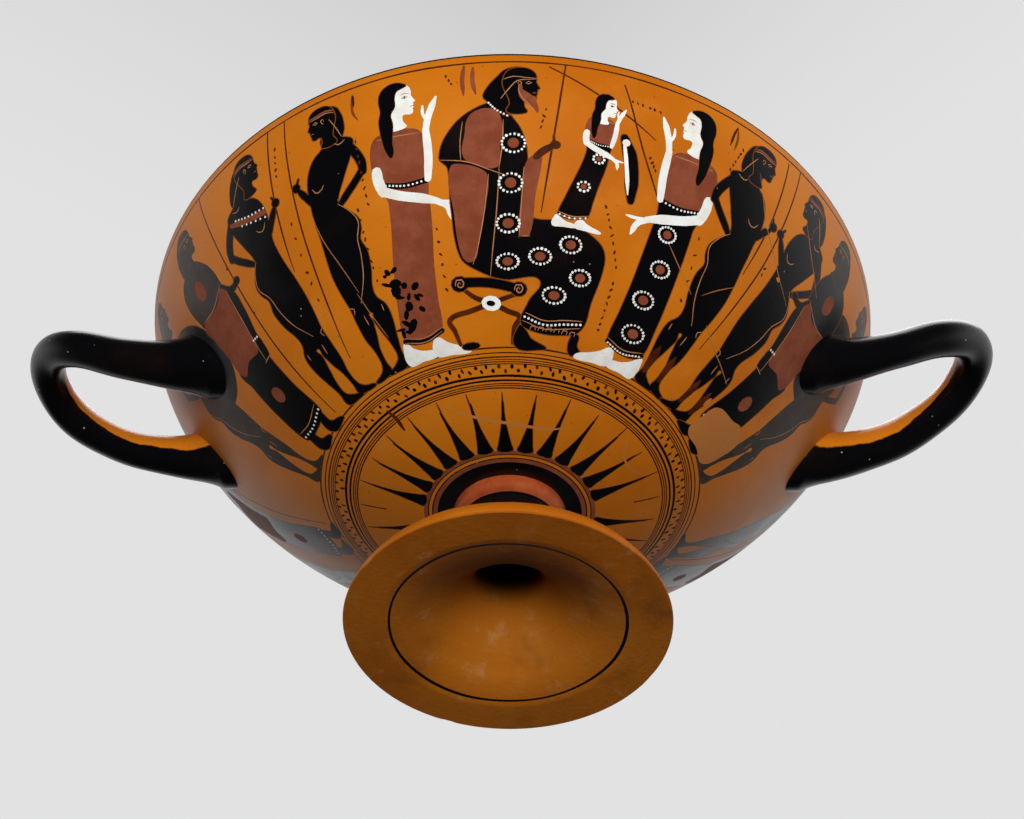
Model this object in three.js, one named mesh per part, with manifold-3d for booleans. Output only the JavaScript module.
// Greek kylix: a shallow two-handled wine cup of fired clay on a stemmed foot.
// Millimetres, +Z up. The origin is on the ground under the centre of the foot.
// The handles lie along +X and -X, and the main side of the bowl faces -Y.
// Bowl, stem, foot and both handles were joined before firing, so they are one solid.

import * as THREE from 'three';
import { mergeVertices } from 'three/addons/utils/BufferGeometryUtils.js';
import Module from 'manifold-3d';

// ---- driving dimensions -------------------------------------------------------------

const RIM_RADIUS = 150;
const CUP_HEIGHT = 152.9;

// The bowl's outer curve: radius = RIM_RADIUS * sin(t)^SIDE_FULLNESS and
// height = lip height - bowl depth * cos(t)^BOTTOM_FULLNESS, with t from 0 to a quarter turn.
const BOWL_BOTTOM_HEIGHT = 56.5;
const SIDE_FULLNESS = 0.888;
const BOTTOM_FULLNESS = 1.495;
const LIP_WALL = 4.2;
const BOTTOM_WALL = 6;
const LIP_ROUNDING = 1.1;

const FOOT_RADIUS = 61.5;
const FOOT_TOP_RADIUS = 57.2;
const FOOT_EDGE_HEIGHT = 9.5;
const FOOT_EDGE_ROUNDING = 0.5;
const REST_FACE_INNER_RADIUS = 47;

const STEM_RADIUS = 17.4;
const STEM_WAIST_HEIGHT = 40;
const HOLLOW_RADIUS = 11;
const HOLLOW_TOP_HEIGHT = 41;

// The raised ring where the stem meets the bowl.
const FILLET_LOWER_RADIUS = 19;
const FILLET_LOWER_HEIGHT = 51.6;
const FILLET_RADIUS = 21.9;
const FILLET_BULGE = 1;

// Each handle is a horseshoe of rolled clay. It leaves the wall at two roots, runs
// straight out, turns through a rounded tip and rises on the way.
const HANDLE_ROOT_X = 129.2;
const HANDLE_ROOT_SUNK = 26;
const HANDLE_FLARE = 4.4;
const HANDLE_FLARE_LENGTH = 11.5;
const HANDLES = [
  {
    side: -1, frontSpacing: 26.6, backSpacing: 26.1, reach: 64.2, rootHeight: 113.7, rise: 23.7,
    squareness: 0.394, lift: 1.8, frontRadius: 8.1, tipRadius: 7.5, backRadius: 7.2,
  },
  {
    side: 1, frontSpacing: 27.6, backSpacing: 26.9, reach: 63.9, rootHeight: 114.5, rise: 32.2,
    squareness: 0.536, lift: 1.49, frontRadius: 7.1, tipRadius: 7.8, backRadius: 7.9,
  },
];

// ---- facets --------------------------------------------------------------------------

const TURNS = 60;
const BOWL_STEPS = 18;
const CAVITY_STEPS = 14;
const HANDLE_SIDES = 14;
const HANDLE_STEPS = 30;
const HANDLE_CURVE_POINTS = 25;
const VERTEX_GRID = 1e-4;

const wasm = await Module();
wasm.setup();

// ---- profiles, as radius and height --------------------------------------------------

const lipHeight = CUP_HEIGHT - LIP_ROUNDING / 2;
const bowlDepth = lipHeight - BOWL_BOTTOM_HEIGHT;

function bowlPoint(t) {
  return new THREE.Vector2(
    RIM_RADIUS * Math.sin(t) ** SIDE_FULLNESS,
    lipHeight - bowlDepth * Math.cos(t) ** BOTTOM_FULLNESS,
  );
}

// The unit normal of the bowl's outer curve, pointing away from the cavity.
function bowlNormal(t) {
  const step = 1e-3;
  const along = bowlPoint(Math.min(t + step, Math.PI / 2)).sub(bowlPoint(Math.max(t - step, 0)));
  return new THREE.Vector2(along.y, -along.x).normalize();
}

// The outer curve's parameter at a given radius.
function bowlAngleAt(radius) {
  return Math.asin((radius / RIM_RADIUS) ** (1 / SIDE_FULLNESS));
}

function bowlOutside() {
  const start = bowlAngleAt(FILLET_RADIUS);
  const points = [];
  for (let step = 0; step <= BOWL_STEPS; step += 1) {
    const t = start + ((Math.PI / 2 - start) * step) / BOWL_STEPS;
    points.push(bowlPoint(t));
  }
  points[BOWL_STEPS].y -= LIP_ROUNDING;
  return points;
}

// The cavity follows the outer curve at the wall's thickness, which grows downwards.
function bowlInside() {
  const points = [new THREE.Vector2(0, BOWL_BOTTOM_HEIGHT + BOTTOM_WALL)];
  for (let step = 1; step <= CAVITY_STEPS; step += 1) {
    const t = (Math.PI / 2) * (step / CAVITY_STEPS);
    const wall = LIP_WALL + (BOTTOM_WALL - LIP_WALL) * Math.cos(t) ** 2;
    points.push(bowlPoint(t).addScaledVector(bowlNormal(t), -wall));
  }
  return points;
}

// The underside: a funnel that rises from the resting face into the hollow stem.
function underside() {
  const funnel = new THREE.SplineCurve([
    new THREE.Vector2(HOLLOW_RADIUS * 0.6, HOLLOW_TOP_HEIGHT - 1.5),
    new THREE.Vector2(HOLLOW_RADIUS, HOLLOW_TOP_HEIGHT - 9),
    new THREE.Vector2(HOLLOW_RADIUS + 2.6, 22.5),
    new THREE.Vector2(HOLLOW_RADIUS + 10.5, 11.8),
    new THREE.Vector2(HOLLOW_RADIUS + 22, 4.4),
    new THREE.Vector2(REST_FACE_INNER_RADIUS, 0),
  ]);
  return [new THREE.Vector2(0, HOLLOW_TOP_HEIGHT), ...funnel.getPoints(9)];
}

function footEdge() {
  const rise = FOOT_EDGE_HEIGHT - FOOT_EDGE_ROUNDING;
  return [
    new THREE.Vector2(FOOT_RADIUS - FOOT_EDGE_ROUNDING, 0),
    new THREE.Vector2(FOOT_RADIUS, FOOT_EDGE_ROUNDING),
    new THREE.Vector2((FOOT_RADIUS + FOOT_TOP_RADIUS) / 2 + 0.4, FOOT_EDGE_HEIGHT / 2),
    new THREE.Vector2(FOOT_TOP_RADIUS, rise),
    new THREE.Vector2(FOOT_TOP_RADIUS - FOOT_EDGE_ROUNDING, FOOT_EDGE_HEIGHT),
  ];
}

// The top of the foot sweeps in and up to the waist of the stem and out to the ring.
function stemOutside() {
  const sweep = new THREE.SplineCurve([
    new THREE.Vector2(FOOT_TOP_RADIUS - 6, FOOT_EDGE_HEIGHT + 0.9),
    new THREE.Vector2(STEM_RADIUS + 21, 13.2),
    new THREE.Vector2(STEM_RADIUS + 9.6, 18),
    new THREE.Vector2(STEM_RADIUS + 2.6, 26.5),
    new THREE.Vector2(STEM_RADIUS, STEM_WAIST_HEIGHT),
    new THREE.Vector2(STEM_RADIUS + 0.5, FILLET_LOWER_HEIGHT - 0.8),
  ]);
  return sweep.getPoints(11);
}

function filletRing() {
  const top = bowlPoint(bowlAngleAt(FILLET_RADIUS)).y;
  const points = [];
  const steps = 4;
  for (let step = 0; step < steps; step += 1) {
    const share = step / steps;
    const bulge = FILLET_BULGE * Math.sin(Math.PI * share);
    points.push(new THREE.Vector2(
      FILLET_LOWER_RADIUS + (FILLET_RADIUS - FILLET_LOWER_RADIUS) * share + bulge,
      FILLET_LOWER_HEIGHT + (top - FILLET_LOWER_HEIGHT) * share - bulge,
    ));
  }
  return points;
}

// ---- solids --------------------------------------------------------------------------

// Turns a closed three.js geometry into a solid, with shared vertices merged and the
// needle triangles at the poles of a turned shape left out.
function solid(geometry) {
  geometry.deleteAttribute('normal');
  geometry.deleteAttribute('uv');
  const merged = mergeVertices(geometry, VERTEX_GRID);
  const corners = merged.index.array;
  const kept = [];
  for (let i = 0; i < corners.length; i += 3) {
    const [a, b, c] = corners.slice(i, i + 3);
    if (a !== b && b !== c && c !== a) kept.push(a, b, c);
  }
  return new wasm.Manifold(new wasm.Mesh({
    numProp: 3,
    vertProperties: new Float32Array(merged.attributes.position.array),
    triVerts: new Uint32Array(kept),
  }));
}

// A profile that starts and ends on the axis, turned about +Z.
function turned(profile) {
  const geometry = new THREE.LatheGeometry(profile, TURNS);
  geometry.rotateX(Math.PI / 2);
  return solid(geometry);
}

function cupBody() {
  return turned([
    ...underside(),
    ...footEdge(),
    ...stemOutside(),
    ...filletRing(),
    ...bowlOutside(),
    new THREE.Vector2(RIM_RADIUS - 0.35 * LIP_ROUNDING, CUP_HEIGHT - 0.35 * LIP_ROUNDING),
    new THREE.Vector2(RIM_RADIUS - LIP_ROUNDING, CUP_HEIGHT),
    new THREE.Vector2(0, CUP_HEIGHT),
  ]);
}

function cavity() {
  const above = CUP_HEIGHT + 10;
  const inside = bowlInside();
  const innerLip = RIM_RADIUS - LIP_WALL;
  inside[CAVITY_STEPS].set(innerLip, CUP_HEIGHT - LIP_ROUNDING);
  return turned([
    ...inside,
    new THREE.Vector2(innerLip + 0.35 * LIP_ROUNDING, CUP_HEIGHT - 0.35 * LIP_ROUNDING),
    new THREE.Vector2(innerLip + LIP_ROUNDING, CUP_HEIGHT),
    new THREE.Vector2(innerLip + LIP_ROUNDING, above),
    new THREE.Vector2(0, above),
  ]);
}

// The centre line of a handle, from the root on the -Y side round to the +Y side.
function handleLine(handle) {
  const points = [];
  for (let i = 0; i < HANDLE_CURVE_POINTS; i += 1) {
    const angle = Math.PI * (i / (HANDLE_CURVE_POINTS - 1) - 0.5);
    const outward = Math.cos(angle) ** handle.squareness;
    points.push(new THREE.Vector3(
      handle.side * (HANDLE_ROOT_X + handle.reach * outward),
      Math.sin(angle) * (angle < 0 ? handle.frontSpacing : handle.backSpacing),
      handle.rootHeight + handle.rise * outward ** handle.lift,
    ));
  }
  const front = points[0].clone();
  const back = points[HANDLE_CURVE_POINTS - 1].clone();
  front.x -= handle.side * HANDLE_ROOT_SUNK;
  back.x -= handle.side * HANDLE_ROOT_SUNK;
  return new THREE.CatmullRomCurve3([front, ...points, back], false, 'centripetal');
}

// The roll's radius at a share of its length: even between front, tip and back, and
// flared towards each root, where the clay was smeared onto the wall.
function handleRadius(handle, share, length) {
  const blend = THREE.MathUtils.smoothstep(Math.abs(share - 0.5), 0.05, 0.3);
  const arm = share < 0.5 ? handle.frontRadius : handle.backRadius;
  const fromEnd = length * Math.min(share, 1 - share) - HANDLE_ROOT_SUNK;
  const flare = HANDLE_FLARE * Math.exp(-Math.max(fromEnd, 0) / HANDLE_FLARE_LENGTH);
  return THREE.MathUtils.lerp(handle.tipRadius, arm, blend) + flare;
}

// A closed cylinder bent along the centre line.
function handleSolid(handle) {
  const line = handleLine(handle);
  const length = line.getLength();
  const frames = line.computeFrenetFrames(HANDLE_STEPS, false);
  const roll = new THREE.CylinderGeometry(1, 1, 1, HANDLE_SIDES, HANDLE_STEPS);
  const position = roll.attributes.position;
  for (let i = 0; i < position.count; i += 1) {
    const step = Math.round((position.getY(i) + 0.5) * HANDLE_STEPS);
    const radius = handleRadius(handle, step / HANDLE_STEPS, length);
    const point = line.getPointAt(step / HANDLE_STEPS)
      .addScaledVector(frames.normals[step], radius * position.getX(i))
      .addScaledVector(frames.binormals[step], -radius * position.getZ(i));
    position.setXYZ(i, point.x, point.y, point.z);
  }
  return solid(roll);
}

// ---- the cup -------------------------------------------------------------------------

const clay = new THREE.MeshStandardMaterial({ color: '#c0702c', roughness: 0.45, metalness: 0 });

function kylix() {
  let cup = cupBody();
  for (const handle of HANDLES) cup = cup.add(handleSolid(handle));
  const hollowed = cup.subtract(cavity()).getMesh();
  const geometry = new THREE.BufferGeometry();
  geometry.setAttribute('position', new THREE.BufferAttribute(hollowed.vertProperties, 3));
  geometry.setIndex(new THREE.BufferAttribute(hollowed.triVerts, 1));
  geometry.computeVertexNormals();
  const mesh = new THREE.Mesh(geometry, clay);
  mesh.name = 'kylix';
  return mesh;
}

const part = new THREE.Group();
part.add(kylix());

export default part;
